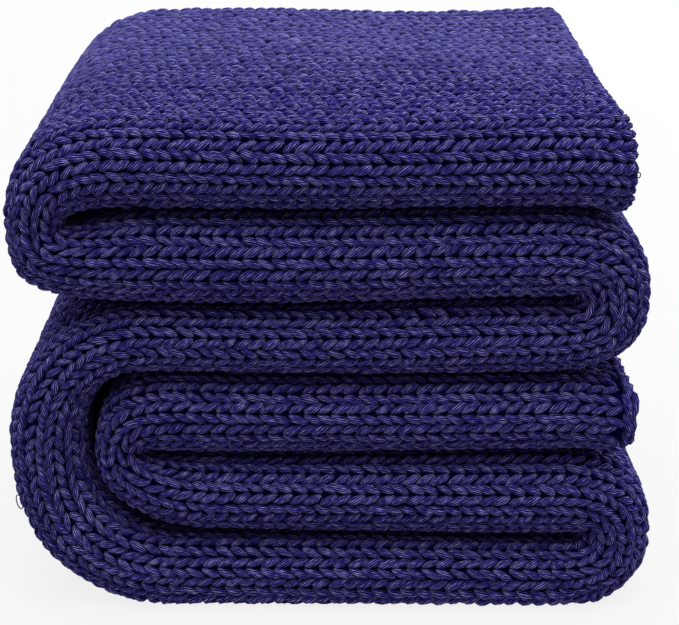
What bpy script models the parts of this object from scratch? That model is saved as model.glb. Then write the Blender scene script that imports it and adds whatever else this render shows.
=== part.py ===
"""A chunky stockinette blanket, folded for a shelf: one piece of cloth, one solid.

The cloth is doubled with its fold to the front and its two edges at the back, and the doubled
strip then runs back and forth in six layers. +X is to the right, +Y to the back, +Z up, and the
origin is the middle of the underside.
"""

import math

import bmesh
import bpy
import numpy as np

for old in list(bpy.data.objects):
    bpy.data.objects.remove(old, do_unlink=True)

MM = 0.001

# Driving sizes, in millimetres.
DEPTH = 261.0  # front roll to back edges
LAYER_GAP = 1.0  # air between two layers that lie on each other
PLY_GAP = 1.2  # air between the two halves of the doubled cloth
WALES_HALF = 21  # columns of stitches from the middle of the front roll to the back edge
WALE_RELIEF = 2.4  # how far the groove between two wales lies below their crests
SLIT_MOUTH = math.radians(140.0)  # how far the back edges curl in towards the slit between them

# Between these two places the faces between layers change from their left to their right height.
FACES_START_X, FACES_END_X = -94.0, 136.0
FACE_HEIGHTS = {
    "top": (291.0, 291.0),
    "one_two": (238.5, 236.0),
    "two_three": (183.0, 187.5),
    "three_four": (143.5, 142.5),
    "four_five": (91.5, 93.5),
    "five_six": (44.5, 42.0),
    "floor": (-LAYER_GAP / 2, -LAYER_GAP / 2),
}

# The layers in the order in which the cloth runs, from the upper free end to the lower one:
# its upper and lower face, how far its front roll is set back, and how far its back edge is.
UPPER_END_X, LOWER_END_X = 162.5, 170.5
LAYERS = (
    {"upper": "top", "lower": "one_two", "front": 0.0, "back": 1.0},
    {"upper": "one_two", "lower": "two_three", "front": 1.5, "back": 4.0},
    {"upper": "two_three", "lower": "three_four", "front": 2.5, "back": 0.0},
    {"upper": "five_six", "lower": "floor", "front": 0.5, "back": 3.0},
    {"upper": "four_five", "lower": "five_six", "front": 2.0, "back": 1.0},
    {"upper": "three_four", "lower": "four_five", "front": 3.0, "back": 5.0},
)
RUN_STEPS = 2  # stations along the flat part of a layer

# The folds between them: the farthest point of the outer and of the inner side, where the fold
# leaves the layer before it and meets the layer after it, how full each outer quarter is (0.55
# is an ellipse), and how far the fold is drawn in at the front and at the back.
INNER_FULL = 0.6
FOLDS = (
    {"outer": (-178.5, 232.0), "inner": (-146.0, 230.0), "leaves": -112.0, "meets": -92.0,
     "full": (0.65, 0.92), "inner_rise": 4.5, "front": 4.0, "back": 16.0, "steps": 5},
    {"outer": (177.5, 187.0), "inner": (136.0, 187.0), "leaves": 120.0, "meets": 112.0,
     "full": (0.70, 0.72), "inner_rise": 3.0, "front": 4.0, "back": 10.0, "steps": 4},
    {"outer": (-183.5, 99.0), "inner": (-140.0, 97.0), "leaves": -100.0, "meets": -84.0,
     "full": (0.55, 0.71), "inner_rise": 33.0, "front": 5.0, "back": 12.0, "steps": 6},
    {"outer": (184.0, 44.0), "inner": (141.0, 43.0), "leaves": 124.0, "meets": 124.0,
     "full": (0.74, 0.66), "inner_rise": 3.0, "front": 4.0, "back": 10.0, "steps": 4},
    {"outer": (-134.5, 93.0), "inner": (-108.0, 92.0), "leaves": -62.0, "meets": -84.0,
     "full": (0.58, 0.60), "inner_rise": 4.0, "front": 6.0, "back": 8.0, "steps": 4},
)

# How both free ends are rounded over: how far back from the end, and how deep all round there.
END_STEPS = (
    {"back": 0.0, "inset": 5.6},
    {"back": 4.0, "inset": 1.9},
    {"back": 12.0, "inset": 0.0},
)

# How the pile settles. It narrows to the back, by a share of its width at the top and at the
# floor. Long low waves make its layers uneven, each by a share of the height, and its front
# wanders a little more the higher it is.
TOP_TAPER, FLOOR_TAPER = 0.12, 0.07
TAPER_MIDDLE_X = -33.0  # the line to which both sides draw in
WAVES = (
    {"share": 0.0035, "along_x": 41.0, "along_y": 60.0, "start": 0.7},
    {"share": 0.0045, "along_x": 95.0, "along_y": 38.0, "start": 1.9},
)
WANDER, WANDER_ALONG_X, WANDER_ALONG_Z = 1.6, 55.0, 30.0

NAVY = (0.028, 0.024, 0.125, 1.0)


def smooth(share):
    """Eases from 0 to 1 with a level start and finish."""
    share = np.clip(share, 0.0, 1.0)
    return share * share * (3.0 - 2.0 * share)


def face_height(name, x):
    """Height of the face between two layers at x."""
    left, right = FACE_HEIGHTS[name]
    share = (x - FACES_START_X) / (FACES_END_X - FACES_START_X)
    return left + (right - left) * smooth(share)


def layer_faces(layer, x):
    """Height of a layer's own top and underside at x, clear of its neighbours."""
    top = face_height(layer["upper"], x) - LAYER_GAP / 2
    underside = face_height(layer["lower"], x) + LAYER_GAP / 2
    return top, underside


def quarter(start, tip, flat_handle, rise, share):
    """A cubic curve that leaves start level and reaches tip upright, rise being its last handle."""
    control = np.array([
        start,
        (start[0] + (tip[0] - start[0]) * flat_handle, start[1]),
        (tip[0], tip[1] + rise),
        tip,
    ])
    u = np.asarray(share, float)[:, None]
    weights = np.hstack([(1 - u) ** 3, 3 * u * (1 - u) ** 2, 3 * u * u * (1 - u), u**3])
    return weights @ control


def fold_quarter(fold, layer, join_x, full, share):
    """Outer and inner side of the quarter of a fold next to a layer, from the layer to the tip."""
    top, underside = layer_faces(layer, join_x)
    above = (top + underside) / 2 > fold["outer"][1]
    outer_z, inner_z = (top, underside) if above else (underside, top)
    outer_rise = (outer_z - fold["outer"][1]) * full
    inner_rise = fold["inner_rise"] if above else -fold["inner_rise"]
    outer = quarter((join_x, outer_z), fold["outer"], full, outer_rise, share)
    inner = quarter((join_x, inner_z), fold["inner"], INNER_FULL, inner_rise, share)
    return outer, inner


def run_stations(x, end_x, index):
    """Places and insets along the flat part of a layer, with the rounding of a free end."""
    heading = 1.0 if end_x > x else -1.0
    places = np.linspace(x, end_x, RUN_STEPS + 1)
    insets = np.zeros(len(places))
    back = np.array([step["back"] for step in END_STEPS])
    depth = np.array([step["inset"] for step in END_STEPS])
    if index == 0:
        places = np.concatenate([x + heading * back, places[1:]])
        insets = np.concatenate([depth, insets[1:]])
    if index == len(LAYERS) - 1:
        places = np.concatenate([places[:-1], end_x - heading * back[::-1]])
        insets = np.concatenate([insets[:-1], depth[::-1]])
    return places, insets


def stations():
    """The strip seen from the front: both sides of the doubled cloth at each station along it.

    Gives arrays: left side and right side of the way the cloth runs, as (x, z), then how far
    the front and the back are drawn in, 1 where the right side lies on the floor, and the inset
    of the free ends.
    """
    rows = []
    x = UPPER_END_X
    for index, layer in enumerate(LAYERS):
        last = index == len(LAYERS) - 1
        fold = None if last else FOLDS[index]
        end_x = LOWER_END_X if last else fold["leaves"]
        on_floor = 1.0 if layer["lower"] == "floor" else 0.0
        run_x, insets = run_stations(x, end_x, index)
        top, underside = layer_faces(layer, run_x)
        to_the_right = end_x > x
        left_z, right_z = (top, underside) if to_the_right else (underside, top)
        for at, left, right, inset in zip(run_x, left_z, right_z, insets):
            rows.append(((at, left), (at, right), layer["front"], layer["back"], on_floor, inset))
        if last:
            break

        following = LAYERS[index + 1]
        share = np.linspace(0.0, 1.0, fold["steps"] + 1)
        into = fold_quarter(fold, layer, fold["leaves"], fold["full"][0], share[1:])
        out_of = fold_quarter(fold, following, fold["meets"], fold["full"][1], share[-2:0:-1])
        outer = np.concatenate([into[0], out_of[0]])
        inner = np.concatenate([into[1], out_of[1]])
        turn = smooth(np.concatenate([share[1:], share[-2:0:-1]]))
        side = np.concatenate([np.zeros(fold["steps"]), np.ones(fold["steps"] - 1)])
        front = layer["front"] + (following["front"] - layer["front"]) * side
        back = layer["back"] + (following["back"] - layer["back"]) * side
        front = front + (fold["front"] - front) * turn
        back = back + (fold["back"] - back) * turn
        goes_down = following["upper"] == layer["lower"] or following["lower"] == "floor"
        outer_is_left = goes_down == to_the_right
        for k in range(len(outer)):
            left, right = (outer[k], inner[k]) if outer_is_left else (inner[k], outer[k])
            rows.append((tuple(left), tuple(right), front[k], back[k], 0.0, 0.0))
        x = fold["meets"]
    return [np.array(column) for column in zip(*rows)]


def half_section(thickness, front, back):
    """One half of the doubled cloth's section, from the slit's front end round to the front roll.

    The outline is a quarter circle at the front, a flat face, and a rounded back edge. It is cut
    into wales of one width, with a point on each crest and in each groove. Gives the points as
    (across, y), the share of the wale relief that each takes, and the outward direction there.
    """
    roll = thickness / 2
    edge = (thickness - PLY_GAP) / 4
    round_y = back - edge
    flat = round_y - (front + roll)
    quarter_roll = math.pi * roll / 2
    whole = quarter_roll + flat + math.pi * edge / 2

    way = np.linspace(whole, 0.0, 2 * WALES_HALF + 1)
    on_roll = way < quarter_roll
    on_back = way > quarter_roll + flat
    roll_angle = way / roll
    back_angle = (way - quarter_roll - flat) / edge
    out_across = np.where(on_roll, np.sin(roll_angle), np.where(on_back, np.cos(back_angle), 1.0))
    out_y = np.where(on_roll, -np.cos(roll_angle), np.where(on_back, np.sin(back_angle), 0.0))
    across = np.where(on_back, roll - edge + edge * out_across, roll * out_across)
    y = np.where(on_roll, front + roll + roll * out_y, front + roll + way - quarter_roll)
    y = np.where(on_back, round_y + edge * out_y, y)
    relief = np.tile([1.0, 0.0], WALES_HALF + 1)[: len(way)]

    inside = np.array([
        (PLY_GAP / 2, front + roll),
        (PLY_GAP / 2, round_y - edge),
        (roll - edge + edge * math.cos(SLIT_MOUTH), round_y + edge * math.sin(SLIT_MOUTH)),
    ])
    plain = np.zeros(len(inside))
    points = np.concatenate([inside, np.stack([across, y], axis=1)])
    outward = np.stack([np.append(plain, out_across), np.append(plain, out_y)], axis=1)
    return points, np.append(plain, relief), outward


def section(thickness, front, back, relief_left, relief_right):
    """The whole section as one closed outline: the slit's front end, the left half, the right one.

    The right half is the left one mirrored. A half's relief is cut in by its own depth, which on
    the floor is nothing on the flat face, so that the cloth lies flat there.
    """
    half, relief, outward = half_section(thickness, front, back)
    on_face = outward[:, 0] > 0.5
    left_depth = WALE_RELIEF * relief * relief_left
    right_depth = WALE_RELIEF * relief * np.where(on_face, relief_right, relief_left)
    left_half = half - outward * left_depth[:, None]
    right_half = (half - outward * right_depth[:, None]) * np.array([-1.0, 1.0])
    slit_front = np.array([[0.0, half[0, 1] - PLY_GAP / 2]])
    return np.concatenate([slit_front, left_half, right_half[-2::-1]])


def settle(points):
    """The pile's taper to the back, its long low waves from the floor up, and its wandering front."""
    x, y, z = points[:, 0], points[:, 1], points[:, 2]
    height = z / FACE_HEIGHTS["top"][0]
    taper = FLOOR_TAPER + (TOP_TAPER - FLOOR_TAPER) * height
    behind = y / DEPTH + 0.5
    uneven = sum(
        wave["share"] * np.sin(x / wave["along_x"] + y / wave["along_y"] + wave["start"])
        for wave in WAVES
    )
    wander = WANDER * height * np.sin(x / WANDER_ALONG_X + z / WANDER_ALONG_Z)
    across = x - (x - TAPER_MIDDLE_X) * taper * behind
    return np.stack([across, y + wander, z * (1.0 + uneven)], axis=1)


def blanket_rings():
    """The section carried along the strip: an array of rings, each of the same points."""
    rings = []
    left, right, fronts, backs, floors, insets = stations()
    for k in range(len(left)):
        across = left[k] - right[k]
        unit = across / math.hypot(*across)
        thickness = math.hypot(*across) - 2 * insets[k]
        front = -DEPTH / 2 + fronts[k] + insets[k]
        back = DEPTH / 2 - backs[k] - insets[k]
        at_an_end = k in (0, len(left) - 1)
        relief_left = 0.0 if at_an_end else 1.0
        relief_right = 0.0 if at_an_end else 1.0 - floors[k]
        ring = section(thickness, front, back, relief_left, relief_right)
        middle = (left[k] + right[k]) / 2
        rings.append(np.stack([
            middle[0] + unit[0] * ring[:, 0],
            ring[:, 1],
            middle[1] + unit[1] * ring[:, 0],
        ], axis=1))
    return np.array(rings)


def mark_grooves(mesh, size):
    """Keeps the bottom of each groove between two wales crisp in the smooth shading."""
    first_groove = size // 2 - 2 * WALES_HALF
    left_grooves = set(range(first_groove, size // 2, 2))
    grooves = left_grooves | {size - j for j in left_grooves} | {size // 2}
    for edge in mesh.edges:
        first, second = (vertex % size for vertex in edge.vertices)
        edge.use_edge_sharp = first == second and first in grooves


def make_blanket():
    """Skins the rings into one closed body and gives it its cloth."""
    rings = blanket_rings()
    count, size = rings.shape[:2]
    points = settle(rings.reshape(-1, 3)) * MM
    points[:, :2] -= (points.min(axis=0) + points.max(axis=0))[:2] / 2
    k, j = np.meshgrid(np.arange(count - 1), np.arange(size), indexing="ij")
    following = (j + 1) % size
    walls = np.stack([k * size + j, k * size + following,
                      (k + 1) * size + following, (k + 1) * size + j], axis=-1)
    faces = walls.reshape(-1, 4).tolist()
    faces.append(list(range(size))[::-1])
    faces.append(list(range((count - 1) * size, count * size)))

    mesh = bpy.data.meshes.new("blanket")
    mesh.from_pydata(points.tolist(), [], faces)
    shape = bmesh.new()
    shape.from_mesh(mesh)
    ends = [face for face in shape.faces if len(face.verts) > 4]
    bmesh.ops.triangulate(shape, faces=ends, ngon_method="BEAUTY")
    bmesh.ops.recalc_face_normals(shape, faces=shape.faces[:])
    shape.to_mesh(mesh)
    shape.free()
    mesh.shade_smooth()
    mark_grooves(mesh, size)

    cloth = bpy.data.materials.new("navy_knit")
    cloth.use_nodes = True
    shader = cloth.node_tree.nodes["Principled BSDF"]
    shader.inputs["Base Color"].default_value = NAVY
    shader.inputs["Roughness"].default_value = 0.85
    shader.inputs["Metallic"].default_value = 0.0
    mesh.materials.append(cloth)
    blanket = bpy.data.objects.new("blanket", mesh)
    bpy.context.collection.objects.link(blanket)


make_blanket()
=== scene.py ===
"""Looks of a chunky knitted weighted blanket, folded into a thick pile and seen from the front."""

import math

import bmesh
import bpy
import numpy as np
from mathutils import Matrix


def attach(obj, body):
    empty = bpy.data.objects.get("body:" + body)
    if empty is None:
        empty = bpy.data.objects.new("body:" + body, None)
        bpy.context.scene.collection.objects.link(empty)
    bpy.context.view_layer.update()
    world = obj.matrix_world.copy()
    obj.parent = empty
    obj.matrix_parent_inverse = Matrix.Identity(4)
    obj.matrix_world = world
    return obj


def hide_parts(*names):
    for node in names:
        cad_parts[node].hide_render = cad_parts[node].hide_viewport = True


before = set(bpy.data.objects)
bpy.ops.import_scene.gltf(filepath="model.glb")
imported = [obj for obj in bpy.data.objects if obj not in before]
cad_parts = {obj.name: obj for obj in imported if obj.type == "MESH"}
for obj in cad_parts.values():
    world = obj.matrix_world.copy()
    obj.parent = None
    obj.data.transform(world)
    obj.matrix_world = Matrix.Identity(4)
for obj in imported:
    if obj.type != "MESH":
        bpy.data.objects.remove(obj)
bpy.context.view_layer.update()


# ---- The cloth ------------------------------------------------------------------------------
# One knitted cloth of thick soft yarn, doubled with its fold to the front and its two edges at
# the back. The doubled strip is then folded back and forth in six layers. This piece is the
# cloth's own body, which lies just under the stitches and shows only dark between them.

MM = 0.001  # sizes are in millimetres, and this makes them metres
DEPTH = 261.0  # front roll to back edges
LAYER_GAP = 1.0  # air between two layers
PLY_GAP = 1.2  # air between the two halves of the doubled cloth
WALES_HALF = 21  # columns of stitches from the middle of the front roll to the back edge
EDGE_CURL = math.radians(150.0)  # how far a back edge curls in towards the slit
SUNK = 3.4  # how deep the cloth's body lies under the crests of the stitches
SINKS, SINKS_UNDER = 4.5, 16.0  # below this height the cloth is pressed down by its weight
FOOT_SPREADS, FOOT_UNDER = 0.5, 20.0  # and the lowest roll's foot is pressed forward
FOOT_FROM_Y, FOOT_LONG = -60.0, 50.0  # in front of here, and fully this far on

# The heights of each face between two layers, where its straight stretch starts at the left and
# where it ends at the right.
FACES_START_X, FACES_END_X = -94.0, 136.0
FACE_HEIGHTS = {
    "top": (291.0, 291.0),
    "one_two": (238.5, 238.0),
    "two_three": (184.0, 185.5),
    "three_four": (143.5, 141.0),
    "four_five": (91.5, 93.5),
    "five_six": (44.0, 39.5),
    "floor": (-LAYER_GAP / 2, -LAYER_GAP / 2),
}
UPPER_END_X, LOWER_END_X = 165.0, 170.5

# The layers in the strip's own order, from the upper free end to the lower one: the faces that
# each lies between, and how far its front roll and its back edges are drawn in.
LAYERS = (
    {"upper": "top", "lower": "one_two", "front": 0.0, "back": 1.0},
    {"upper": "one_two", "lower": "two_three", "front": -1.0, "back": 4.0},
    {"upper": "two_three", "lower": "three_four", "front": 2.5, "back": 0.0},
    {"upper": "five_six", "lower": "floor", "front": 0.5, "back": 3.0},
    {"upper": "four_five", "lower": "five_six", "front": 2.0, "back": 1.0},
    {"upper": "three_four", "lower": "four_five", "front": 3.0, "back": 5.0},
)

# The folds between them: the tips of the outer and the inner side, the x where the layer before
# ends and the next one starts, how full the outer side's two quarters are, how upright the inner
# side comes to its tip, and how far front and back are drawn in at the tip.
FOLDS = (
    {"outer": (-178.5, 232.0), "inner": (-146.0, 230.0), "leaves": -112.0, "meets": -92.0,
     "full": (0.65, 0.92), "inner_rise": 4.5, "front": 4.0, "back": 16.0},
    {"outer": (177.5, 186.0), "inner": (136.0, 185.5), "leaves": 120.0, "meets": 112.0,
     "full": (0.70, 0.72), "inner_rise": 3.0, "front": 4.0, "back": 10.0},
    {"outer": (-183.5, 99.0), "inner": (-140.0, 97.0), "leaves": -100.0, "meets": -84.0,
     "full": (0.55, 0.71), "inner_rise": 33.0, "front": 5.0, "back": 12.0},
    {"outer": (184.0, 43.0), "inner": (141.0, 41.0), "leaves": 124.0, "meets": 124.0,
     "full": (0.74, 0.66), "inner_rise": 3.0, "front": 4.0, "back": 10.0},
    {"outer": (-134.5, 93.0), "inner": (-108.0, 92.0), "leaves": -62.0, "meets": -84.0,
     "full": (0.58, 0.68), "inner_rise": 4.0, "front": 6.0, "back": 8.0},
)
INNER_FULL = 0.6  # how full the inner side's quarters are
RUN_POINTS, QUARTER_POINTS, CORNER_POINTS = 24, 24, 8  # on a layer, half a fold, an end's corner
END_CORNER, END_ROUND = 10.0, 6.0  # a free end turns into its end face over a quarter ellipse
END_FACE = 23.5  # how deep the end face is covered, from its rim towards the slit
END_HANGS, HANGS_FROM_X, HANGS_FROM_ROW = 5.0, 135.0, 12.0  # a free end's left side droops
END_BOW, BOW_AT_Y, BOW_LONG = 4.0, -55.0, 60.0  # the upper end bows in here, this far either way
BOW_FROM_X, BOW_FROM_Z, BOW_HIGH = 115.0, 225.0, 15.0  # from here on, and fully this far above
OUTER_SHARE = 0.62  # how much a fold's outer side counts in its rows of stitches

TOP_TAPER, FLOOR_TAPER = 0.12, 0.07  # share by which the pile narrows to the back
TAPER_MIDDLE_X = -33.0  # the line that it narrows to
WAVES = (
    {"share": 0.0035, "along_x": 41.0, "along_y": 60.0, "start": 0.7},
    {"share": 0.0045, "along_x": 95.0, "along_y": 38.0, "start": 1.9},
)
WANDER, WANDER_ALONG_X, WANDER_ALONG_Z = 1.6, 55.0, 30.0  # how far the front rolls wander

ROW_AT_TOP, ROW_AT_FLOOR = 7.5, 8.4  # length of a stitch in the top layer and in the lowest one
BODY_ROWS, BODY_POINTS = 300, 70  # the body's sections, and the points round one
BODY_TO = 22.6  # its outline ends at this wale, curled in past the back edge
BODY_OFF_FLOOR = 0.6  # the body is nowhere lower than this
SHADOW_SHADES = ((0.0006, 0.0005, 0.014, 1.0), (0.0018, 0.0015, 0.038, 1.0))  # nearly black navy
SHADOW_LUMPS = 260.0  # faint lumps to a metre


def smooth(share):
    """Eases from 0 to 1: three times the square of the share less twice its cube."""
    share = np.clip(share, 0.0, 1.0)
    return share * share * (3.0 - 2.0 * share)


def face_height(name, x):
    """Height of the face between two layers: its left height, eased into its right one."""
    left, right = FACE_HEIGHTS[name]
    return left + (right - left) * smooth((x - FACES_START_X) / (FACES_END_X - FACES_START_X))


def layer_faces(layer, x):
    """A layer's top and underside at x, half the gap inside the faces that it shares."""
    upper, lower = face_height(layer["upper"], x), face_height(layer["lower"], x)
    return upper - LAYER_GAP / 2, lower + LAYER_GAP / 2


def quarter(start, tip, flat_handle, rise, share):
    """A cubic curve that leaves start level and reaches tip upright, rise being its last handle."""
    second = (start[0] + (tip[0] - start[0]) * flat_handle, start[1])
    third = (tip[0], tip[1] + rise)
    u = share[:, None]
    return ((1 - u) ** 3 * np.array(start) + 3 * u * (1 - u) ** 2 * np.array(second)
            + 3 * u * u * (1 - u) * np.array(third) + u**3 * np.array(tip))


def fold_quarter(fold, layer, join_x, full, share):
    """Outer and inner side of the quarter of a fold next to a layer, from the layer to the tip."""
    top, underside = layer_faces(layer, join_x)
    above = (top + underside) / 2 > fold["outer"][1]
    outer_z, inner_z = (top, underside) if above else (underside, top)
    outer_rise = (outer_z - fold["outer"][1]) * full
    inner_rise = fold["inner_rise"] if above else -fold["inner_rise"]
    outer = quarter((join_x, outer_z), fold["outer"], full, outer_rise, share)
    inner = quarter((join_x, inner_z), fold["inner"], INNER_FULL, inner_rise, share)
    return outer, inner


def strip_sides():
    """The strip seen from the front, as arrays: its left and right side as (x, z), and how far its
    front and back are drawn in. A layer runs straight between its faces, and each side of a fold is
    two quarter curves, which meet at its tip."""
    left, right, front, back = [], [], [], []
    x = UPPER_END_X - END_CORNER
    for layer, fold, following in zip(LAYERS, (*FOLDS, None), (*LAYERS[1:], None)):
        end_x = fold["leaves"] if fold else LOWER_END_X - END_CORNER
        to_the_right = end_x > x
        run_x = np.linspace(x, end_x, RUN_POINTS)
        top, underside = (np.stack([run_x, z], axis=1) for z in layer_faces(layer, run_x))
        left.append(top if to_the_right else underside)
        right.append(underside if to_the_right else top)
        front.append(np.full(RUN_POINTS, layer["front"]))
        back.append(np.full(RUN_POINTS, layer["back"]))
        if fold is None:
            break

        share = np.linspace(0.0, 1.0, QUARTER_POINTS + 1)
        into = fold_quarter(fold, layer, fold["leaves"], fold["full"][0], share[1:])
        out_of = fold_quarter(fold, following, fold["meets"], fold["full"][1], share[-2:0:-1])
        outer, inner = (np.concatenate(pair) for pair in zip(into, out_of))
        goes_down = following["upper"] == layer["lower"] or following["lower"] == "floor"
        outer_is_left = goes_down == to_the_right
        left.append(outer if outer_is_left else inner)
        right.append(inner if outer_is_left else outer)
        turn = smooth(np.concatenate([share[1:], share[-2:0:-1]]))
        second = np.arange(len(turn)) >= QUARTER_POINTS
        for drawn_in, name in ((front, "front"), (back, "back")):
            plain = np.where(second, following[name], layer[name])
            drawn_in.append(plain + (fold[name] - plain) * turn)
        x = fold["meets"]
    return [np.concatenate(part) for part in (left, right, front, back)]


def whole_strip():
    """The strip with its free ends turned over, as named columns against the count of stitch rows.

    An end turns over a quarter circle and then runs inwards over its end face: inset is how far all
    its outline has drawn in, and lean how far the cloth's outward direction has turned to the end.
    Rows are counted nearer to a fold's outer side than to its inner one.
    """
    left, right, front, back = strip_sides()
    angle = np.linspace(0.0, math.pi / 2, CORNER_POINTS + 1)[1:]
    reach = np.append(END_CORNER * np.sin(angle), END_CORNER)
    inset = np.append(END_ROUND * (1.0 - np.cos(angle)), END_FACE)
    lean = np.arctan2(END_ROUND * np.sin(angle), END_CORNER * np.cos(angle))
    lean = np.append(lean, math.pi / 2)

    def with_ends(values, before, after):
        return np.concatenate([before[::-1], values, after])

    columns = {}
    for name, side in (("left", left), ("right", right)):
        level = np.ones(len(reach))
        columns[name + "_x"] = with_ends(side[:, 0], side[0, 0] + reach, side[-1, 0] + reach)
        columns[name + "_z"] = with_ends(side[:, 1], side[0, 1] * level, side[-1, 1] * level)
    for name, values in (("front", front), ("back", back)):
        columns[name] = with_ends(values, values[0] + 0 * reach, values[-1] + 0 * reach)
    columns["inset"] = with_ends(np.zeros(len(left)), inset, inset)
    columns["lean"] = with_ends(np.zeros(len(left)), lean, lean)

    steps = np.stack([
        np.hypot(np.diff(columns[side + "_x"]), np.diff(columns[side + "_z"]))
        for side in ("left", "right")
    ])
    steps = OUTER_SHARE * steps.max(axis=0) + (1.0 - OUTER_SHARE) * steps.min(axis=0)
    steps = np.hypot(steps, np.diff(columns["inset"]))
    height = (columns["left_z"] + columns["right_z"]) / 2 / FACE_HEIGHTS["top"][0]
    length = ROW_AT_FLOOR + (ROW_AT_TOP - ROW_AT_FLOOR) * (height[1:] + height[:-1]) / 2
    row = np.concatenate([[0.0], np.cumsum(steps / length)])
    first, last = row[len(reach)], row[-len(reach) - 1]
    row = columns["row"] = (row - first) * round(last - first) / (last - first)
    near_end = (row < HANGS_FROM_ROW) | (row > row[-1] - HANGS_FROM_ROW)
    hangs = smooth((columns["left_x"] - HANGS_FROM_X) / (UPPER_END_X - HANGS_FROM_X)) * near_end
    columns["left_z"] = columns["left_z"] - END_HANGS * hangs
    return columns


STRIP = whole_strip()
ROWS = round(STRIP["row"][-CORNER_POINTS - 2])  # rows of stitches between the two free ends


def on_section(way, thickness, front, back):
    """A point of the doubled cloth's outline, as across and y, with the outward direction there.

    way counts wales from the middle of the front roll, plus on the left side and minus on the
    right. The outline is a quarter circle of half the thickness, a flat face, and then a circle
    round the back edge, and each wale has the same share of it up to the back-most line.
    """
    side = np.where(way < 0, -1.0, 1.0)
    roll = thickness / 2
    edge = (thickness - PLY_GAP) / 4
    flat = back - edge - front - roll
    past_roll = np.abs(way) * (math.pi * (roll + edge) / 2 + flat) / WALES_HALF - math.pi * roll / 2
    roll_angle = math.pi / 2 + np.clip(past_roll, -math.pi * roll / 2, 0.0) / roll
    edge_angle = np.clip((past_roll - flat) / edge, 0.0, EDGE_CURL)
    across = roll * np.sin(roll_angle) - edge * (1.0 - np.cos(edge_angle))
    y = front + roll * (1.0 - np.cos(roll_angle)) + edge * np.sin(edge_angle)
    y = y + np.clip(past_roll, 0.0, flat)
    out_across = np.sin(roll_angle) * np.cos(edge_angle)
    out_y = np.sin(edge_angle) - np.cos(roll_angle)
    return side * across, y, side * out_across, out_y


def settle(x, y, z):
    """The pile's taper to the back, its long low waves from the floor up, and its wandering front:
    x draws in to the taper's middle by a share that grows to the back, z grows by two sine waves of
    x and y, and y shifts by a sine of x and z. The upper free end bows in by a bell curve of y, and
    near the floor z eases down and the front eases forward. It gives the place in metres."""
    height = z / FACE_HEIGHTS["top"][0]
    taper = FLOOR_TAPER + (TOP_TAPER - FLOOR_TAPER) * height
    uneven = sum(
        wave["share"] * np.sin(x / wave["along_x"] + y / wave["along_y"] + wave["start"])
        for wave in WAVES
    )
    wander = WANDER * height * np.sin(x / WANDER_ALONG_X + z / WANDER_ALONG_Z)
    bow = END_BOW * np.exp(-((y - BOW_AT_Y) / BOW_LONG) ** 2) * smooth((z - BOW_FROM_Z) / BOW_HIGH)
    x = x - bow * smooth((x - BOW_FROM_X) / (UPPER_END_X - BOW_FROM_X))
    across = x - (x - TAPER_MIDDLE_X) * taper * (y / DEPTH + 0.5)
    spread = FOOT_SPREADS * smooth((FOOT_UNDER - z) / FOOT_UNDER)
    spread = spread * smooth((FOOT_FROM_Y - y) / FOOT_LONG)
    z = z * (1.0 + uneven)
    z = z - SINKS * smooth((SINKS_UNDER - z) / SINKS_UNDER)
    return np.stack([across, y + wander - spread, z], axis=-1) * MM


def strip_at(row):
    """The strip's columns at any row, read between their points, and its section there."""
    at = {name: np.interp(row, STRIP["row"], STRIP[name]) for name in STRIP}
    across_x, across_z = at["left_x"] - at["right_x"], at["left_z"] - at["right_z"]
    width = np.hypot(across_x, across_z)
    at["middle_x"] = (at["left_x"] + at["right_x"]) / 2
    at["middle_z"] = (at["left_z"] + at["right_z"]) / 2
    at["unit_x"], at["unit_z"] = across_x / width, across_z / width
    at["thickness"] = width - 2 * at["inset"]
    at["front"] = at["front"] - DEPTH / 2 + at["inset"]
    at["back"] = DEPTH / 2 - at["back"] - at["inset"]
    return at


def on_cloth(row, way, rise):
    """A place on the cloth, in metres, from its row, its wale and its height over the crests.

    It is the section's point for that wale, put across the strip at that row, and lifted along the
    outward direction, which leans over to the end on the rounded free ends.
    """
    at = strip_at(row)
    across, y, out_across, out_y = on_section(way, at["thickness"], at["front"], at["back"])
    lift = rise * np.cos(at["lean"])
    across = across + lift * out_across
    x = at["middle_x"] + at["unit_x"] * across + rise * np.sin(at["lean"])
    return settle(x, y + lift * out_y, at["middle_z"] + at["unit_z"] * across)


def put_in_scene(name, data):
    """Puts a mesh, a light or a camera into the scene as an object of that name, at the origin."""
    thing = bpy.data.objects.new(name, data)
    bpy.context.collection.objects.link(thing)
    return thing


def ground_rings(rows, ways):
    """The body's section at each row: the outline under the stitches, from one back edge round the
    front to the other, closed by the slit's two walls between the halves."""
    row, way = np.meshgrid(rows, ways, indexing="ij")
    outline = on_cloth(row, way, -SUNK)
    at = strip_at(rows)
    roll, edge = at["thickness"] / 2, (at["thickness"] - PLY_GAP) / 4
    shift = -SUNK * np.sin(at["lean"])
    slit = []
    for across, y in ((-PLY_GAP, at["back"] - 2 * edge), (-PLY_GAP, at["front"] + roll),
                      (PLY_GAP, at["front"] + roll), (PLY_GAP, at["back"] - 2 * edge)):
        x = at["middle_x"] + at["unit_x"] * across + shift
        slit.append(settle(x, y, at["middle_z"] + at["unit_z"] * across))
    return np.concatenate([outline, np.stack(slit, axis=1)], axis=1)


ways = np.linspace(-WALES_HALF, WALES_HALF, 8 * WALES_HALF + 1)
crests = on_cloth(*np.meshgrid(STRIP["row"], ways, indexing="ij"), 0.0).reshape(-1, 3)
CENTRE = np.append((crests.min(axis=0) + crests.max(axis=0))[:2] / 2, 0.0)  # of the underside

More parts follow.
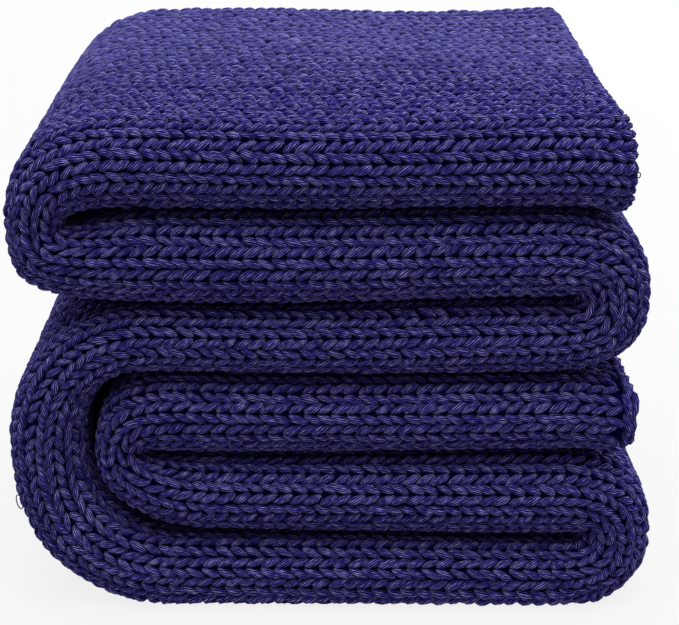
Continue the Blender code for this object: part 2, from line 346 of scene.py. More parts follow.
body_rows = np.linspace(STRIP["row"][0], STRIP["row"][-1], BODY_ROWS)
rings = ground_rings(body_rows, np.linspace(-BODY_TO, BODY_TO, BODY_POINTS)) - CENTRE
rings[..., 2] = np.maximum(rings[..., 2], BODY_OFF_FLOOR * MM)
around = rings.shape[1]
ring, point = np.meshgrid(np.arange(BODY_ROWS - 1), np.arange(around), indexing="ij")
here, next_point = ring * around + point, ring * around + (point + 1) % around
walls = np.stack([here, next_point, next_point + around, here + around], axis=-1).reshape(-1, 4)
ends = [list(range(around))[::-1], list(range((BODY_ROWS - 1) * around, BODY_ROWS * around))]
ground_mesh = bpy.data.meshes.new("cloth")
ground_mesh.from_pydata(rings.reshape(-1, 3).tolist(), [], walls.tolist() + ends)
shape = bmesh.new()
shape.from_mesh(ground_mesh)
bmesh.ops.triangulate(shape, faces=[face for face in shape.faces if len(face.verts) > 4])
bmesh.ops.recalc_face_normals(shape, faces=shape.faces[:])
shape.to_mesh(ground_mesh)
shape.free()
ground_mesh.shade_smooth()
cloth = put_in_scene("cloth", ground_mesh)

shadow_navy = bpy.data.materials.new("shadow_navy")
shadow_navy.use_nodes = True
shader = shadow_navy.node_tree.nodes["Principled BSDF"]
shader.inputs["Roughness"].default_value = 0.95
shader.inputs["Specular IOR Level"].default_value = 0.0
nodes, links = shadow_navy.node_tree.nodes, shadow_navy.node_tree.links
place = nodes.new("ShaderNodeTexCoord")
lumps = nodes.new("ShaderNodeTexNoise")
lumps.inputs["Scale"].default_value = SHADOW_LUMPS
shades = nodes.new("ShaderNodeValToRGB")
for element, colour in zip(shades.color_ramp.elements, SHADOW_SHADES):
    element.color = colour
links.new(place.outputs["Object"], lumps.inputs["Vector"])
links.new(lumps.outputs["Fac"], shades.inputs["Fac"])
links.new(shades.outputs["Color"], shader.inputs["Base Color"])
ground_mesh.materials.append(shadow_navy)
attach(cloth, "root")
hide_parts("blanket")


# ---- The stitches ---------------------------------------------------------------------------
# Each stitch is a V of two plump legs of soft twisted yarn, made by one loop drawn through another.
# A leg comes up beside the wale's middle, where the two make the V's point, and dips along the
# wale's border. They lie flatter behind the front roll, and are joined to one mesh for each layer.

WALE = 13.4  # usual width of a wale
FOOT, HEAD = -0.22, 1.28  # where a leg starts and ends along its wale, in rows
TOE, HEEL = 0.045, 0.50  # and how far out of the wale's middle, in wales
BEND = 0.88  # a leg leaves the wale's middle early and then runs along its border
LEG_WIDE, LEG_HIGH = 2.8, 2.6  # half its width and half its thickness
LEG_TOP = 0.3  # how far its back stands over the crests
FLAT_FROM, FLAT_TO = 5.5, 14.0  # past the front roll, at these wales, the legs come to lie flatter
FLAT_HIGH, FLAT_DIP, FLAT_TOE = 0.8, 0.45, 0.08  # share of thickness and dip there, and its toe
LEG_RINGS = (
    {"along": 0.00, "full": 0.0, "sunk": 1.5},
    {"along": 0.07, "full": 0.58, "sunk": 0.7},
    {"along": 0.26, "full": 0.95, "sunk": 0.1},
    {"along": 0.48, "full": 1.00, "sunk": 0.0},
    {"along": 0.72, "full": 0.87, "sunk": 0.3},
    {"along": 0.91, "full": 0.50, "sunk": 1.1},
    {"along": 1.00, "full": 0.0, "sunk": 2.0},
)
LEG_AROUND = (270.0, 345.0, 41.0, 90.0, 139.0, 195.0)  # degrees, from the underside round
LEGS_OFF_FLOOR = 0.2  # and no leg is lower than this
SHOWN_FRONT, SHOWN_BACK = 4.6, 18.4  # wales up to here and from here on show on every layer
LAST_WALE = 22
NEAR = 4.0  # a side with another layer this near to it is hidden
FREE_FROM = 0.3  # a stitch shows where its side is free by more than this share
ENDS_APART = 6.0  # parts of the strip within this many rows are the same layer
LAST_ROW_OFF = 0.35  # the last stitches start this far before the last row
FIRST_ROW, FACE_FROM_ROW = -3.3, -0.6  # the upper end's stitches run on over its face to here
LAST_FACE_ROWS = (1.4, 2.25, 3.0)  # on the lower end, rows of stitches inside its chain
FOLD_STITCH = 7.8  # length that a stitch keeps where the rows of a fold crowd
FEWEST, MOST = 0.1, 1.35  # least and greatest number of stitches for each row of a fold
LEAST_ROW = 0.8  # a row that is crowded to less than this counts as so long
FIRST_NUMBER = -4  # of the stitches on the upper end's face
QUARTER_STITCH = 0.25
SHEAR, SHEAR_TURN = 0.26, 1.9  # a wale's rows run this far before or after the next one's
WALE_SWAY = 0.05  # how far a wale's middle wanders to either side, in wales
BORDER_GAP, BORDER_SWAY, BORDER_VARIES = 0.01, 0.03, 0.02  # half the gap at a wale's border
REACH_VARIES, SHIFT_VARIES = 0.06, 0.05  # spread of the legs' lengths and places, in rows
WIDE_VARIES, HIGH_VARIES, TOP_VARIES = 0.07, 0.05, 0.25  # and of their thickness and height
YARN_STARTS = 400.0  # each leg shows another stretch of this much yarn
OWN_SHADE, TAIL_PAINTED_SHADE = 0.04, 0.18  # spread of the legs' own shades, and the painted shade that falls along a leg to its tail, which tucks under the next leg
FLAT_PAINTED_LIGHT = 0.10  # painted light: how much paler a leg is painted where it lies flat, as on the top, which catches more light

# The navy from the ink between two strands, partly painted shade in the grooves between them, to a
# pale hair, partly the yarn's paler fibres and partly a painted glint, by the shade of the strands,
# and how far a leg's own shade of 0 or of 1 moves it, that shade being its random tone with painted
# shade towards its tail and painted light where it lies flat. The strands' contrast is less where a
# leg lies flat, and there a little grey-blue painted sheen is mixed in, as on the top, which catches
# the light.
NAVY_SHADES = (
    {"at": 0.16, "colour": (0.0006, 0.0004, 0.042, 1.0)},
    {"at": 0.42, "colour": (0.012, 0.0096, 0.110, 1.0)},
    {"at": 0.70, "colour": (0.049, 0.042, 0.212, 1.0)},
    {"at": 0.95, "colour": (0.26, 0.242, 0.50, 1.0)},
)
DEEPEST, PALEST = -0.28, 0.44
ROUND_CONTRAST, FLAT_CONTRAST = 0.92, 0.56
# painted sheen: the grey-blue mixed in where a leg lies flat, and its greatest share
PAINTED_SHEEN, PAINTED_SHEEN_SHARE = (0.13, 0.125, 0.19, 1.0), 0.11
STRANDS_STAND = 0.0012  # in metres


def open_sides(rows):
    """Whether the left and the right side of the strip lie free at each row: a point held off the
    side must have no other part of the strip close to it."""
    at = strip_at(rows)
    left = np.stack([at["left_x"], at["left_z"]], axis=1)
    right = np.stack([at["right_x"], at["right_z"]], axis=1)
    out = np.stack([at["unit_x"], at["unit_z"]], axis=1)
    everything = np.concatenate([left, right])
    their_rows = np.concatenate([rows, rows])
    free = []
    for probe in (left + NEAR * out, right - NEAR * out):
        distance = np.hypot(*np.moveaxis(probe[:, None] - everything[None], -1, 0))
        other = np.abs(rows[:, None] - their_rows[None]) > ENDS_APART
        free.append(np.where(other, distance, np.inf).min(axis=1) > NEAR)
    return free


def row_length(row, way):
    """Millimetres of cloth along one row there, from the places half a row before and behind."""
    step = on_cloth(row + 0.5, way, 0.0) - on_cloth(row - 0.5, way, 0.0)
    return np.maximum(np.linalg.norm(step, axis=-1) / MM, LEAST_ROW)


def stitch_rows(wales):
    """The row at which each wale's stitches lie, for every quarter stitch, and the stitches' number.

    Straight cloth has a stitch for each row. Round a fold the inner wales are crowded and the outer
    ones stretched, so there each wale has the whole number of stitches that its own length takes.
    """
    fine = np.arange(STRIP["row"][0], STRIP["row"][-1], QUARTER_STITCH)
    middle = fine[:-1] + QUARTER_STITCH / 2
    length = row_length(middle[None, :], wales[:, None])
    stitches_a_row = np.ones_like(length)
    for first, last in FOLD_ROWS:
        inside = (middle > first) & (middle < last)
        share = np.clip(length[:, inside] / FOLD_STITCH, FEWEST, MOST)
        total = share.sum(axis=1, keepdims=True) * QUARTER_STITCH
        stitches_a_row[:, inside] = share * np.maximum(np.round(total), 2.0) / total
    number = np.cumsum(stitches_a_row, axis=1) * QUARTER_STITCH + fine[0]
    number = np.concatenate([np.full((len(wales), 1), fine[0]), number], axis=1)
    wanted = np.arange(FIRST_NUMBER - QUARTER_STITCH, number.max(), QUARTER_STITCH)
    return wanted, np.stack([np.interp(wanted, each, fine) for each in number])


fold_starts = np.arange(len(FOLDS)) * (RUN_POINTS + 2 * QUARTER_POINTS - 1)
fold_starts = fold_starts + CORNER_POINTS + RUN_POINTS
FOLD_ROWS = STRIP["row"][np.stack([fold_starts, fold_starts + 2 * QUARTER_POINTS], axis=1)]
WALES = np.arange(-LAST_WALE, LAST_WALE) + 0.5
STITCH_NUMBERS, STITCH_ROWS = stitch_rows(WALES)


def row_of(wale, number):
    """The row of a wale's stitch by its number, read between the table's quarter stitches."""
    place = np.clip((number - STITCH_NUMBERS[0]) / QUARTER_STITCH, 0.0, len(STITCH_NUMBERS) - 1.001)
    before = np.floor(place).astype(int)
    column = np.round(wale - WALES[0]).astype(int) + 0 * before
    nearer, further = STITCH_ROWS[column, before], STITCH_ROWS[column, before + 1]
    return nearer + (further - nearer) * (place - before)


def leg_places():
    """Number, wale and flank of each leg that shows. Each stitch has two legs, and they are kept on
    the front roll, round the back edges, over the end faces, and where their side of the strip lies
    free."""
    number, wale, flank = (part.ravel() for part in np.meshgrid(
        np.arange(FIRST_NUMBER, STITCH_NUMBERS[-1]), WALES, (-1.0, 1.0), indexing="ij"))
    number = number + SHEAR * np.sin(SHEAR_TURN * wale)
    row = row_of(wale, number)
    fine = np.arange(0.0, ROWS, 0.5)
    left_free, right_free = (
        np.interp(row + 0.5, fine, free.astype(float)) for free in open_sides(fine))
    free = np.where(wale > 0, left_free, right_free) > FREE_FROM
    keep = (np.abs(wale) < SHOWN_FRONT) | (np.abs(wale) > SHOWN_BACK) | free | (row < FACE_FROM_ROW)
    keep &= (row > FIRST_ROW) & (row < ROWS - LAST_ROW_OFF)

    face_rows = ROWS + np.array(LAST_FACE_ROWS)
    face_number = np.stack([np.interp(face_rows, each, STITCH_NUMBERS) for each in STITCH_ROWS])
    face_number, face_wale, face_flank = (part.ravel() for part in np.broadcast_arrays(
        face_number[:, :, None], WALES[:, None, None], np.array([-1.0, 1.0])))
    return (np.append(number[keep], face_number), np.append(wale[keep], face_wale),
            np.append(flank[keep], face_flank))


def leaves_on_cloth(rings, path, heading, length, wide, high, top, dip):
    """Points of many like plump leaves on the cloth, as (leaf, point, xyz).

    path(along) gives each leaf's row and way, heading is its direction in millimetres of row and of
    way, and length the millimetres of a row there. Round each path stands an ellipse, scaled by the
    ring's fullness, with its back at the height top less dip times the depth the ring is sunk.
    """
    along, full, sunk = (
        np.array([ring[name] for ring in rings]) for name in ("along", "full", "sunk"))
    angle = np.radians(LEG_AROUND)
    row, way = path(along[None, :])
    size = np.hypot(*heading)
    off = wide[:, None, None] * full[None, :, None] * np.cos(angle)
    rise = high[:, None, None] * (full[None, :, None] * np.sin(angle) - 1.0)
    rise = rise + top[:, None, None] - dip[:, None, None] * sunk[None, :, None]
    rows = row[:, :, None] - off * (heading[1] / size / length)[:, None, None]
    ways = way[:, :, None] + off * (heading[0] / size / WALE)[:, None, None]
    points = on_cloth(rows, ways, rise) - CENTRE
    points[..., 2] = np.maximum(points[..., 2], LEGS_OFF_FLOOR * MM)
    inner = points[:, 1:-1].reshape(len(points), -1, 3)
    return np.concatenate([inner, points[:, :1, 0], points[:, -1:, 0]], axis=1)


def leaf_faces(leaf_rings):
    """Faces of one leaf: a band of quads between two rings, and a fan of triangles to each pole.
    Gives their corners with each corner's turn round the leaf and place along it."""
    rings, around = len(leaf_rings) - 2, len(LEG_AROUND)
    turn = np.append((np.array(LEG_AROUND) - LEG_AROUND[0]) % 360.0, 360.0) / 360.0
    along = [ring["along"] for ring in leaf_rings]
    corners, looks, sizes = [], [], []
    for ring in range(rings - 1):
        for j in range(around):
            n, this, after = (j + 1) % around, ring * around, (ring + 1) * around
            corners += [this + j, this + n, after + n, after + j]
            low, high = along[ring + 1], along[ring + 2]
            looks += [(turn[j], low), (turn[j + 1], low), (turn[j + 1], high), (turn[j], high)]
            sizes.append(4)
    foot, head, last = rings * around, rings * around + 1, (rings - 1) * around
    for j in range(around):
        n, middle = (j + 1) % around, (turn[j] + turn[j + 1]) / 2
        corners += [foot, n, j, head, last + j, last + n]
        looks += [(middle, 0.0), (turn[j + 1], along[1]), (turn[j], along[1])]
        looks += [(middle, 1.0), (turn[j], along[-2]), (turn[j + 1], along[-2])]
        sizes += [3, 3]
    return np.array(corners), np.array(looks), np.array(sizes)


draws = np.random.default_rng(11)  # seeded, so that the stitches always vary in the same way


def leaf_piece(name, rings, points, length, flat, yarn):
    """A piece of all these leaves. Its UV map has turns round the yarn and millimetres along it, each
    leaf starting at its own place. The attribute shade is the leaf's own random depth of colour, with
    painted light that makes it paler where it lies flat, less a painted shade that grows from its foot
    to its tail, where the tail tucks under the next leg. The attribute flat says how flat it lies."""
    corners, looks, sizes = leaf_faces(rings)
    leaves, each = points.shape[:2]
    mesh = bpy.data.meshes.new(name)
    mesh.vertices.add(leaves * each)
    mesh.vertices.foreach_set("co", points.reshape(-1).astype(np.float32))
    mesh.loops.add(leaves * len(corners))
    mesh.loops.foreach_set("vertex_index", (corners + each * np.arange(leaves)[:, None]).ravel())
    mesh.polygons.add(leaves * len(sizes))
    mesh.polygons.foreach_set("loop_start", np.append(0, np.cumsum(np.tile(sizes, leaves))[:-1]))
    mesh.update(calc_edges=True)
    mesh.validate()
    uv = np.empty((leaves, len(corners), 2))
    uv[..., 0] = looks[:, 0]
    uv[..., 1] = looks[:, 1] * length[:, None] + draws.uniform(0.0, YARN_STARTS, (leaves, 1))
    mesh.uv_layers.new(name="yarn").data.foreach_set("uv", uv.ravel().astype(np.float32))
    along = np.repeat([ring["along"] for ring in rings[1:-1]], len(LEG_AROUND))
    # painted shade: each leg darker from its foot to its tail, where the tail tucks under the next leg
    painted_tail_shade = TAIL_PAINTED_SHADE * (0.5 - np.append(along, (0.0, 1.0)))
    # painted light: paler where the leg lies flat, as on the top, which catches more light
    shade = (draws.normal(0.5, OWN_SHADE, leaves) + FLAT_PAINTED_LIGHT * flat)[:, None] + painted_tail_shade
    for look, values in (("shade", shade), ("flat", np.repeat(flat, each))):
        mesh.attributes.new(look, "FLOAT", "POINT").data.foreach_set(
            "value", values.ravel().astype(np.float32))
    mesh.shade_smooth()
    mesh.materials.append(yarn)
    piece = put_in_scene(name, mesh)
    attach(piece, "root")
    return piece


def yarn_strands():
    """A group for twisted yarn. It reads the yarn's UV map, with turns round it and millimetres
    along it, and gives the shade of its strands and hairs and their height. A strand is a sine of
    the turn, which shifts along the yarn by the twist, and the hairs are noise stretched along it.
    One input is painted shade: how much darker the yarn is painted underneath and on its sides, where
    less light falls."""
    group = bpy.data.node_groups.new("yarn_strands", "ShaderNodeTree")
    starts = {"Strands": 13.0, "Twist": 0.012, "Hairs Across": 1.3, "Hairs Along": 0.24,
              "Underside Shade": 0.5, "Contrast": ROUND_CONTRAST}
    for name, start in starts.items():
        socket = group.interface.new_socket(name, in_out="INPUT", socket_type="NodeSocketFloat")
        socket.default_value = start
    for name in ("Shade", "Height"):
        group.interface.new_socket(name, in_out="OUTPUT", socket_type="NodeSocketFloat")
    nodes, links = group.nodes, group.links
    given, out = nodes.new("NodeGroupInput"), nodes.new("NodeGroupOutput")
    uv = nodes.new("ShaderNodeUVMap")
    uv.uv_map = "yarn"
    split = nodes.new("ShaderNodeSeparateXYZ")
    links.new(uv.outputs["UV"], split.inputs[0])

    def combine(kind, *values):
        node = nodes.new("ShaderNodeMath")
        node.operation = kind
        for socket, value in zip(node.inputs, values):
            if isinstance(value, float):
                socket.default_value = value
            else:
                links.new(value, socket)
        return node.outputs[0]

    turned = combine("MULTIPLY_ADD", split.outputs["Y"], given.outputs["Twist"], split.outputs["X"])
    lines = combine("MULTIPLY", turned, given.outputs["Strands"])
    wave = combine("SINE", combine("MULTIPLY", lines, 2 * math.pi))
    strand = combine("MULTIPLY_ADD", wave, 0.5, 0.5)

    place = nodes.new("ShaderNodeCombineXYZ")
    links.new(combine("MULTIPLY", lines, given.outputs["Hairs Across"]), place.inputs["X"])
    hairs_along = combine("MULTIPLY", split.outputs["Y"], given.outputs["Hairs Along"])
    links.new(hairs_along, place.inputs["Y"])
    hairs = nodes.new("ShaderNodeTexNoise")
    hairs.inputs["Scale"].default_value = 1.0
    hairs.inputs["Detail"].default_value = 1.5
    links.new(place.outputs[0], hairs.inputs["Vector"])
    spread = nodes.new("ShaderNodeMapRange")
    spread.inputs["From Min"].default_value = 0.3
    spread.inputs["From Max"].default_value = 0.72
    links.new(hairs.outputs["Fac"], spread.inputs["Value"])
    hair = spread.outputs["Result"]
    height = combine("MULTIPLY_ADD", hair, 0.5, combine("MULTIPLY", strand, 0.6))
    links.new(combine("MULTIPLY", height, given.outputs["Contrast"]), out.inputs["Height"])

    # painted shade: the yarn darker on its underside and sides, where less light falls
    round_it = combine("COSINE", combine("MULTIPLY", split.outputs["X"], 2 * math.pi))
    flank = combine("MULTIPLY", combine("MULTIPLY_ADD", round_it, 0.5, 0.5), given.outputs["Underside Shade"])
    off_middle = combine("MULTIPLY_ADD", hair, 0.5, combine("MULTIPLY_ADD", strand, 0.5, -0.5))
    lines_shade = combine("MULTIPLY_ADD", off_middle, given.outputs["Contrast"], 0.5)
    links.new(combine("SUBTRACT", lines_shade, flank), out.inputs["Shade"])
    return group


def navy_yarn(name, strands):
    """Matt navy yarn with a faint sheen: its strands shade it from ink through navy to a few pale
    grey-blue hairs, the ink partly painted shade between the strands and the hairs partly painted
    glints, and each leg has a depth of its own, with painted shade towards its tail and painted light
    where it lies flat. Where it lies flat its strands show less strongly and a grey-blue painted
    sheen lies over it, as on the top, which catches the light."""
    yarn = bpy.data.materials.new(name)
    yarn.use_nodes = True
    nodes, links = yarn.node_tree.nodes, yarn.node_tree.links
    shader = nodes["Principled BSDF"]
    shader.inputs["Roughness"].default_value = 0.6
    shader.inputs["Specular IOR Level"].default_value = 0.0
    shader.inputs["Sheen Weight"].default_value = 0.025
    shader.inputs["Sheen Roughness"].default_value = 0.4
    shader.inputs["Sheen Tint"].default_value = (0.85, 0.83, 0.9, 1.0)
    lines = nodes.new("ShaderNodeGroup")
    lines.node_tree = STRANDS
    lines.inputs["Strands"].default_value = strands
    lies_flat = nodes.new("ShaderNodeAttribute")
    lies_flat.attribute_name = "flat"
    calmer = nodes.new("ShaderNodeMapRange")
    calmer.inputs["To Min"].default_value = ROUND_CONTRAST
    calmer.inputs["To Max"].default_value = FLAT_CONTRAST
    links.new(lies_flat.outputs["Fac"], calmer.inputs["Value"])
    links.new(calmer.outputs["Result"], lines.inputs["Contrast"])
    # the ramp: its darkest stop partly painted shade between the strands, its palest partly a painted
    # glint
    shades = nodes.new("ShaderNodeValToRGB")
    ramp = shades.color_ramp.elements
    for element, look in zip(list(ramp), (NAVY_SHADES[0], NAVY_SHADES[-1])):
        element.position, element.color = look["at"], look["colour"]
    for look in NAVY_SHADES[1:-1]:
        ramp.new(look["at"]).color = look["colour"]
    # the shade attribute: each leg's own random tone, with painted shade towards its tail and painted
    # light where it lies flat
    own = nodes.new("ShaderNodeAttribute")
    own.attribute_name = "shade"
    deeper = nodes.new("ShaderNodeMapRange")
    deeper.inputs["To Min"].default_value = DEEPEST
    deeper.inputs["To Max"].default_value = PALEST
    links.new(own.outputs["Fac"], deeper.inputs["Value"])
    tinted = nodes.new("ShaderNodeMath")
    links.new(lines.outputs["Shade"], tinted.inputs[0])
    links.new(deeper.outputs["Result"], tinted.inputs[1])
    links.new(tinted.outputs["Value"], shades.inputs["Fac"])
    # painted sheen: a grey-blue mixed into the colour where the yarn lies flat, as on the top, which
    # catches the light
    painted_sheen_amount = nodes.new("ShaderNodeMapRange")
    painted_sheen_amount.inputs["To Max"].default_value = PAINTED_SHEEN_SHARE
    links.new(lies_flat.outputs["Fac"], painted_sheen_amount.inputs["Value"])
    painted_sheen_mix = nodes.new("ShaderNodeMixRGB")
    painted_sheen_mix.inputs["Color2"].default_value = PAINTED_SHEEN
    links.new(painted_sheen_amount.outputs["Result"], painted_sheen_mix.inputs["Fac"])
    links.new(shades.outputs["Color"], painted_sheen_mix.inputs["Color1"])
    links.new(painted_sheen_mix.outputs["Color"], shader.inputs["Base Color"])
    bump = nodes.new("ShaderNodeBump")
    bump.inputs["Strength"].default_value = 1.0
    bump.inputs["Distance"].default_value = STRANDS_STAND
    links.new(lines.outputs["Height"], bump.inputs["Height"])
    links.new(bump.outputs["Normal"], shader.inputs["Normal"])
    return yarn


STRANDS = yarn_strands()
stitch_yarn = navy_yarn("stitch_yarn", 13.0)

leg_number, leg_wale, leg_flank = leg_places()
legs = len(leg_number)
sway = np.sin(leg_number / 9.0 + leg_wale * 2.3) + np.sin(leg_wale * 5.7 + leg_number / 31.0)
sway *= WALE_SWAY
border = leg_wale + leg_flank / 2
border_gap = BORDER_GAP + BORDER_SWAY * np.sin(border * 2.9 + leg_number / 26.0)
border_gap += draws.normal(0.0, BORDER_VARIES, legs)
reach = 1.0 + draws.normal(0.0, REACH_VARIES, legs)
shift = draws.normal(0.0, SHIFT_VARIES, legs)
flat = smooth((np.abs(leg_wale) - FLAT_FROM) / (FLAT_TO - FLAT_FROM))


def leg_path(along):
    """A leg's row and way: it takes an even share of its stitches from foot to head, and its way goes
    from beside the wale's middle to the wale's border, by a power of the same share."""
    number = (leg_number + shift + FOOT)[:, None] + ((HEAD - FOOT) * reach)[:, None] * along
    start = (sway + leg_flank * (TOE + (FLAT_TOE - TOE) * flat))[:, None]
    end = (leg_flank * (HEEL - border_gap))[:, None]
    return row_of(leg_wale[:, None], number), leg_wale[:, None] + start + (end - start) * along**BEND


foot_and_head = leg_path(np.array([[0.0, 1.0]]))
leg_length = row_length(foot_and_head[0].mean(axis=1), foot_and_head[1].mean(axis=1))
leg_heading = (
    np.diff(foot_and_head[0], axis=1)[:, 0] * leg_length,
    np.diff(foot_and_head[1], axis=1)[:, 0] * WALE,
)
wide = LEG_WIDE * (1.0 + draws.normal(0.0, WIDE_VARIES, legs))
high = LEG_HIGH * (1.0 + draws.normal(0.0, HIGH_VARIES, legs)) * (1.0 - (1.0 - FLAT_HIGH) * flat)
dip = 1.0 - (1.0 - FLAT_DIP) * flat
top = LEG_TOP + draws.normal(0.0, TOP_VARIES, legs)
leg_points = leaves_on_cloth(LEG_RINGS, leg_path, leg_heading, leg_length, wide, high, top, dip)

leg_layer = np.searchsorted(FOLD_ROWS.mean(axis=1), foot_and_head[0].mean(axis=1))
for layer in range(len(LAYERS)):
    mine = leg_layer == layer
    leaf_piece(f"stitches_{layer + 1}", LEG_RINGS, leg_points[mine],
                               np.hypot(*leg_heading)[mine], flat[mine], stitch_yarn)


# ---- The bound edges ------------------------------------------------------------------------
# The first and the last row are bound with a chain of the same yarn. On the lower free end it runs
# round the rim, from one back edge round the front to the other, and on the upper one it is turned
# in on the end face. Its links are larger than the stitches and overlap like a braid.

UPPER_CHAIN_ROW, LOWER_CHAIN_ROW = -3.75, 0.95  # the chain's middle, the lower past the last row
LINK_FOOT, LINK_HEAD = -0.45, 1.2  # where a link starts and ends, in wales
LINK_TOE, LINK_HEEL = -0.04, 0.5  # how far off the chain's middle it starts and ends, in rows
LINK_WIDE, LINK_HIGH, LINK_TOP = 2.9, 3.0, 0.9  # half its width and thickness, and its back
LINK_WIDE_VARIES, LINK_TOP_VARIES = 0.06, 0.3  # spread of these
LINK_REACH_VARIES, LINK_OFF_VARIES = 0.06, 0.12  # and of its length and place
KNOB, KNOB_WAY = 1.8, 0.5  # on the lower end the link of this wale stands further out
LINK_RINGS = (
    {"along": 0.00, "full": 0.0, "sunk": 2.8},
    {"along": 0.12, "full": 0.56, "sunk": 1.5},
    {"along": 0.34, "full": 0.93, "sunk": 0.3},
    {"along": 0.58, "full": 1.0, "sunk": 0.0},
    {"along": 0.80, "full": 0.84, "sunk": 0.6},
    {"along": 0.95, "full": 0.46, "sunk": 1.8},
    {"along": 1.00, "full": 0.0, "sunk": 2.8},
)

edge_yarn = navy_yarn("edge_yarn", 14.0)
link_way, link_flank, link_end = (part.ravel() for part in np.meshgrid(
    np.arange(-LAST_WALE + 0.5, LAST_WALE - 1.0), (-1.0, 1.0), (0.0, 1.0), indexing="ij"))
links_made = len(link_way)
link_middle = np.where(link_end > 0, ROWS + LOWER_CHAIN_ROW, UPPER_CHAIN_ROW)
link_length = row_length(link_middle, link_way + 0.5)
link_stretch = 1.0 + draws.normal(0.0, LINK_REACH_VARIES, links_made)
link_off = link_flank * (1.0 + draws.normal(0.0, LINK_OFF_VARIES, links_made))


def link_path(along):
    """A link's row and way: along the rim by an even share, and off the chain's middle by it too."""
    way = link_way[:, None] + LINK_FOOT + (LINK_HEAD - LINK_FOOT) * link_stretch[:, None] * along
    off = LINK_TOE + (LINK_HEEL - LINK_TOE) * along
    return link_middle[:, None] + link_off[:, None] * off, way


link_heading = (link_off * (LINK_HEEL - LINK_TOE) * link_length,
                (LINK_HEAD - LINK_FOOT) * link_stretch * WALE)
link_wide = LINK_WIDE * (1.0 + draws.normal(0.0, LINK_WIDE_VARIES, links_made))
knob = KNOB * ((link_way == KNOB_WAY) & (link_flank > 0) & (link_end > 0))
link_top = LINK_TOP + draws.normal(0.0, LINK_TOP_VARIES, links_made) + knob
link_points = leaves_on_cloth(LINK_RINGS, link_path, link_heading, link_length, link_wide,
                              np.full(links_made, LINK_HIGH), link_top, np.ones(links_made))
bound_edges = leaf_piece("bound_edges", LINK_RINGS, link_points, np.hypot(*link_heading),
                         np.zeros(links_made), edge_yarn)


# ---- The loose threads ----------------------------------------------------------------------
# Two thin threads of the yarn have been pulled out of the cloth. Each stands off it in a small
# loop, one at the upper free end and one low down on the large fold at the left.

THREADS = (
    {"row": -1.5, "way": 0.0, "rows": 0.1, "wales": 0.13, "stands": 2.0},
    {"row": 145.6, "way": -2.3, "rows": 0.5, "wales": 0.1, "stands": 3.3},
)
THREAD_RADIUS, THREAD_SUNK = 0.35, 1.2  # and how deep its feet lie in the stitches
FEET_APART = 0.25  # share of the loop's half width by which each foot is set off
THREAD_STEPS, THREAD_AROUND = 14, 6
CROSSWISE = (0.31, 0.87, 0.38)  # a direction that neither loop runs along


def loop_points(thread):
    """A thread's loop, from one foot to the other: its places off the middle are the sine of the turn,
    less a little so that the feet lie apart, and its height is half of one less the turn's cosine."""
    turn = np.linspace(0.0, 2 * math.pi, THREAD_STEPS)
    side = np.sin(turn) - FEET_APART * np.cos(turn / 2)
    rise = thread["stands"] * (0.5 - 0.5 * np.cos(turn)) - THREAD_SUNK
    return on_cloth(thread["row"] + thread["rows"] * side, thread["way"] + thread["wales"] * side,
                    rise) - CENTRE


def round_thread(middle):
    """Rings about a path: at each step the unit vectors crosswise to the path, turned by the cosine
    and sine of the angle, with one more point at either end to close it."""
    ahead = np.gradient(middle, axis=0)
    ahead /= np.linalg.norm(ahead, axis=1, keepdims=True)
    across = np.cross(ahead, CROSSWISE)
    across /= np.linalg.norm(across, axis=1, keepdims=True)
    other = np.cross(ahead, across)
    angle = np.arange(THREAD_AROUND) * 2 * math.pi / THREAD_AROUND
    ring = across[:, None] * np.cos(angle)[:, None] + other[:, None] * np.sin(angle)[:, None]
    rings = (middle[:, None] + THREAD_RADIUS * MM * ring).reshape(-1, 3)
    return np.concatenate([rings, middle[:1], middle[-1:]])


point = np.arange(THREAD_AROUND)
next_point = (point + 1) % THREAD_AROUND
last_ring = (THREAD_STEPS - 1) * THREAD_AROUND
foot = np.full(THREAD_AROUND, THREAD_STEPS * THREAD_AROUND)
sides = np.stack([point, next_point, next_point + THREAD_AROUND, point + THREAD_AROUND], axis=1)
sides = (sides + THREAD_AROUND * np.arange(THREAD_STEPS - 1)[:, None, None]).reshape(-1, 4)
caps = np.concatenate([np.stack([foot, next_point, point], axis=1),
                       np.stack([foot + 1, last_ring + point, last_ring + next_point], axis=1)])
thread_points = np.stack([round_thread(loop_points(thread)) for thread in THREADS])
thread_faces = []
for thread in range(len(THREADS)):
    thread_faces += (sides + thread * thread_points.shape[1]).tolist()
    thread_faces += (caps + thread * thread_points.shape[1]).tolist()
thread_mesh = bpy.data.meshes.new("loose_threads")
thread_mesh.from_pydata(thread_points.reshape(-1, 3).tolist(), [], thread_faces)
thread_mesh.shade_smooth()
loose_threads = put_in_scene("loose_threads", thread_mesh)

plain_thread = bpy.data.materials.new("plain_thread")
plain_thread.use_nodes = True
shader = plain_thread.node_tree.nodes["Principled BSDF"]
shader.inputs["Base Color"].default_value = (0.012, 0.01, 0.09, 1.0)
shader.inputs["Roughness"].default_value = 0.7
thread_mesh.materials.append(plain_thread)
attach(loose_threads, "root")


# ---- The stand and the light ----------------------------------------------------------------
# A plain white floor that glows evenly like a light table, so that the pile throws hardly a shadow.
# Soft light comes from above, and three pale windows stand behind it and behind its two sides. The
# camera looks down at the front of the pile from a little way off.

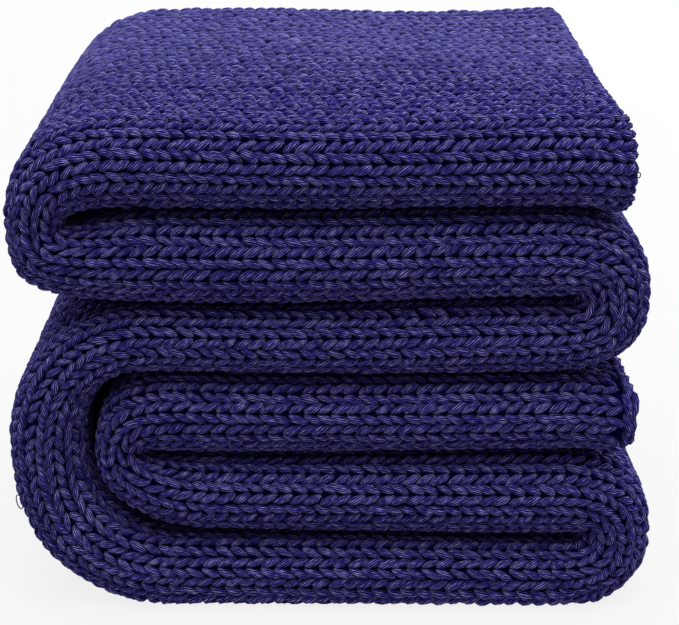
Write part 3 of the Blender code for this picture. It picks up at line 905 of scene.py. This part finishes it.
FLOOR = 20.0  # metres from the pile to its rim
FLOOR_GLOW, ROOM_GLOW, SKY_LIGHT = 0.84, 0.22, 4.55
SKY_SOFT, SKY_LEANS = 60.0, 13.0  # degrees that it spreads over, and that it leans to the front
WINDOWS = (
    {"name": "back_window", "size": 1.4, "watts": 33.0, "at": (0.2, 1.9, 1.7), "turn": (-52, 0, 0)},
    {"name": "side_window", "size": 1.2, "watts": 42.0, "at": (1.5, 1.1, 0.75), "turn": (72, 0, 126)},
    {"name": "left_window", "size": 1.2, "watts": 16.0, "at": (-1.6, 1.2, 0.9), "turn": (-34, -56, 0)},
)
CAMERA_AT, CAMERA_DOWN = (0.0042, -1.2826, 0.652), 22.03  # in metres, and degrees below level

floor_mesh = bpy.data.meshes.new("floor")
floor_corners = [(-FLOOR, -FLOOR, 0), (FLOOR, -FLOOR, 0), (FLOOR, FLOOR, 0), (-FLOOR, FLOOR, 0)]
floor_mesh.from_pydata(floor_corners, [], [(0, 1, 2, 3)])
floor = put_in_scene("floor", floor_mesh)
pale = bpy.data.materials.new("pale_floor")
pale.use_nodes = True
shader = pale.node_tree.nodes["Principled BSDF"]
shader.inputs["Base Color"].default_value = (0.05, 0.05, 0.05, 1.0)
shader.inputs["Emission Color"].default_value = (1.0, 1.0, 1.0, 1.0)
shader.inputs["Emission Strength"].default_value = FLOOR_GLOW
shader.inputs["Roughness"].default_value = 1.0
shader.inputs["Specular IOR Level"].default_value = 0.0
floor_mesh.materials.append(pale)

world = bpy.data.worlds.new("pale_room")
bpy.context.scene.world = world
world.use_nodes = True
world.node_tree.nodes["Background"].inputs["Color"].default_value = (1.0, 1.0, 1.0, 1.0)
world.node_tree.nodes["Background"].inputs["Strength"].default_value = ROOM_GLOW

skylight = bpy.data.lights.new("skylight", "SUN")
skylight.angle = math.radians(SKY_SOFT)
skylight.energy = SKY_LIGHT
skylight_at = put_in_scene("skylight", skylight)
skylight_at.rotation_euler = (math.radians(SKY_LEANS), 0.0, 0.0)

for window in WINDOWS:
    light = bpy.data.lights.new(window["name"], "AREA")
    light.size = window["size"]
    light.energy = window["watts"]
    light_at = put_in_scene(window["name"], light)
    light_at.location = window["at"]
    light_at.rotation_euler = np.radians(window["turn"])

camera = bpy.data.cameras.new("camera")
camera.lens = 121.6
camera.sensor_width = 36.0
camera_at = put_in_scene("camera", camera)
camera_at.location = CAMERA_AT
camera_at.rotation_euler = (math.radians(90.0 - CAMERA_DOWN), 0.0, 0.0)
bpy.context.scene.camera = camera_at
bpy.context.scene.view_settings.view_transform = "Standard"
